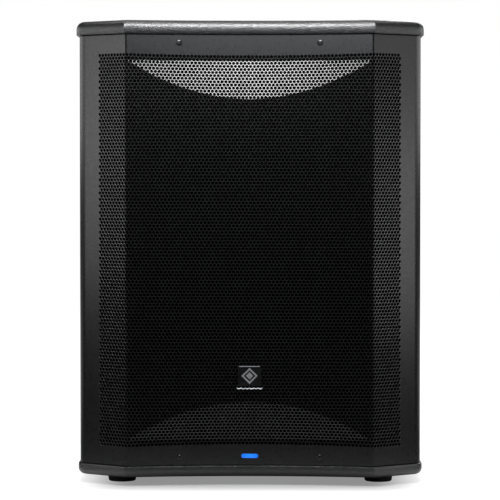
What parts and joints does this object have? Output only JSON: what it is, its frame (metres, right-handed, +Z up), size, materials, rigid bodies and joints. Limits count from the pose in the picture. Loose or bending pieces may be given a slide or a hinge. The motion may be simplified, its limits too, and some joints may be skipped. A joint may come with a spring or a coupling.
{
  "type": "pa speaker cabinet",
  "caption": "Black floor-standing powered bass speaker cabinet with a folded, perforated steel front grille and thick top and bottom plates.",
  "frame": {"origin": "on the floor under the middle of the cabinet's plan", "axes": "+Z up, -Y out of the grille, +X to the right seen from the front"},
  "size_m": [0.5, 0.6, 0.664],
  "materials": {
    "painted_board": "black speckled cabinet paint over birch ply",
    "bare_ply": "unpainted birch ply",
    "grille_steel": "satin black powder coat",
    "black_metal": "satin black enamel",
    "black_plastic": "fine moulded texture",
    "lamp_blue": "lit translucent blue",
    "lamp_green": "lit translucent green",
    "badge_metal": "brushed rim on black",
    "black_rubber": "moulded rubber",
    "foam": "open-cell foam",
    "cone_paper": "pressed paper, sealed",
    "woven_cloth": "resin-dipped cloth",
    "ferrite": "sintered",
    "zinc_steel": "zinc plated",
    "copper": "varnished copper winding",
    "circuit_board": "solder mask",
    "heatsink_alloy": "black anodised",
    "sheet_alloy": "plain",
    "control_plastic": "moulded",
    "light_plastic": "moulded",
    "rocker_red": "moulded"
  },
  "bodies": {
    "cabinet": {"top_plate": "painted_board", "bottom_plate": "painted_board", "left_side_board": "painted_board", "right_side_board": "painted_board", "front_baffle": "painted_board", "back_board": "painted_board", "window_brace": "bare_ply", "left_port": "black_plastic", "right_port": "black_plastic", "acoustic_lining": "foam", "grille": "grille_steel", "grille_foam": "foam", "grille_posts": "zinc_steel", "grille_screws": "black_metal", "badge": "badge_metal", "status_lens": "lamp_blue", "status_board": "circuit_board", "woofer_frame": "black_metal", "woofer_gasket": "black_rubber", "surround": "cone_paper", "spider": "woven_cloth", "magnet_front_plate": "zinc_steel", "magnet": "ferrite", "pole_piece": "zinc_steel", "woofer_terminals": "black_plastic", "woofer_bolts": "black_metal", "tee_nuts": "zinc_steel", "speaker_cable": "black_rubber", "left_handle": "black_plastic", "right_handle": "black_plastic", "feet": "black_rubber", "foot_screws": "zinc_steel", "pole_socket": "black_metal", "board_screws": "black_metal", "amp_panel": "black_metal", "heatsink": "heatsink_alloy", "amp_box": "sheet_alloy", "power_board": "circuit_board", "transformer": "copper", "control_board": "circuit_board", "fan_frame": "black_plastic", "potentiometers": "sheet_alloy", "rocker_housing": "black_plastic", "mains_inlet": "black_plastic", "input_sockets": "black_metal", "output_sockets": "black_metal", "signal_lamps": "lamp_green"},
    "cone_assembly": {"cone": "cone_paper", "dust_cap": "cone_paper", "voice_coil": "copper"},
    "fan": {"fan_rotor": "black_plastic"},
    "level_control": {"level_knob": "control_plastic", "level_shaft": "zinc_steel"},
    "crossover_control": {"crossover_knob": "control_plastic", "crossover_shaft": "zinc_steel"},
    "polarity_switch": {"polarity_button": "light_plastic"},
    "low_cut_switch": {"low_cut_button": "light_plastic"},
    "power_switch": {"power_rocker": "rocker_red"},
    "left_release": {"left_latch": "zinc_steel"},
    "right_release": {"right_latch": "zinc_steel"}
  },
  "joints": [
    {"name": "cone_stroke", "type": "slide", "parent": "cabinet", "child": "cone_assembly", "axis": [0, -1, 0], "range_m": [-0.008, 0.008], "stiffness_N_per_m": 3000, "deforming": ["surround", "spider"]},
    {"name": "fan_spin", "type": "hinge", "parent": "cabinet", "child": "fan", "pos_m": [0.08, 0.273, 0.19], "axis": [0, 1, 0], "continuous": true},
    {"name": "level_turn", "type": "hinge", "parent": "cabinet", "child": "level_control", "pos_m": [0.015, 0.29, 0.34], "axis": [0, 1, 0], "range_deg": [-150, 150]},
    {"name": "crossover_turn", "type": "hinge", "parent": "cabinet", "child": "crossover_control", "pos_m": [0.075, 0.29, 0.34], "axis": [0, 1, 0], "range_deg": [-150, 150]},
    {"name": "polarity_press", "type": "slide", "parent": "cabinet", "child": "polarity_switch", "axis": [0, -1, 0], "range_m": [0, 0.0025]},
    {"name": "low_cut_press", "type": "slide", "parent": "cabinet", "child": "low_cut_switch", "axis": [0, -1, 0], "range_m": [0, 0.0025]},
    {"name": "power_rock", "type": "hinge", "parent": "cabinet", "child": "power_switch", "pos_m": [0.005, 0.283, 0.19], "axis": [-1, 0, 0], "range_deg": [0, 20]},
    {"name": "left_release_press", "type": "slide", "parent": "cabinet", "child": "left_release", "axis": [0, -1, 0], "range_m": [0, 0.002], "stiffness_N_per_m": 800},
    {"name": "right_release_press", "type": "slide", "parent": "cabinet", "child": "right_release", "axis": [0, -1, 0], "range_m": [0, 0.002], "stiffness_N_per_m": 800}
  ]
}
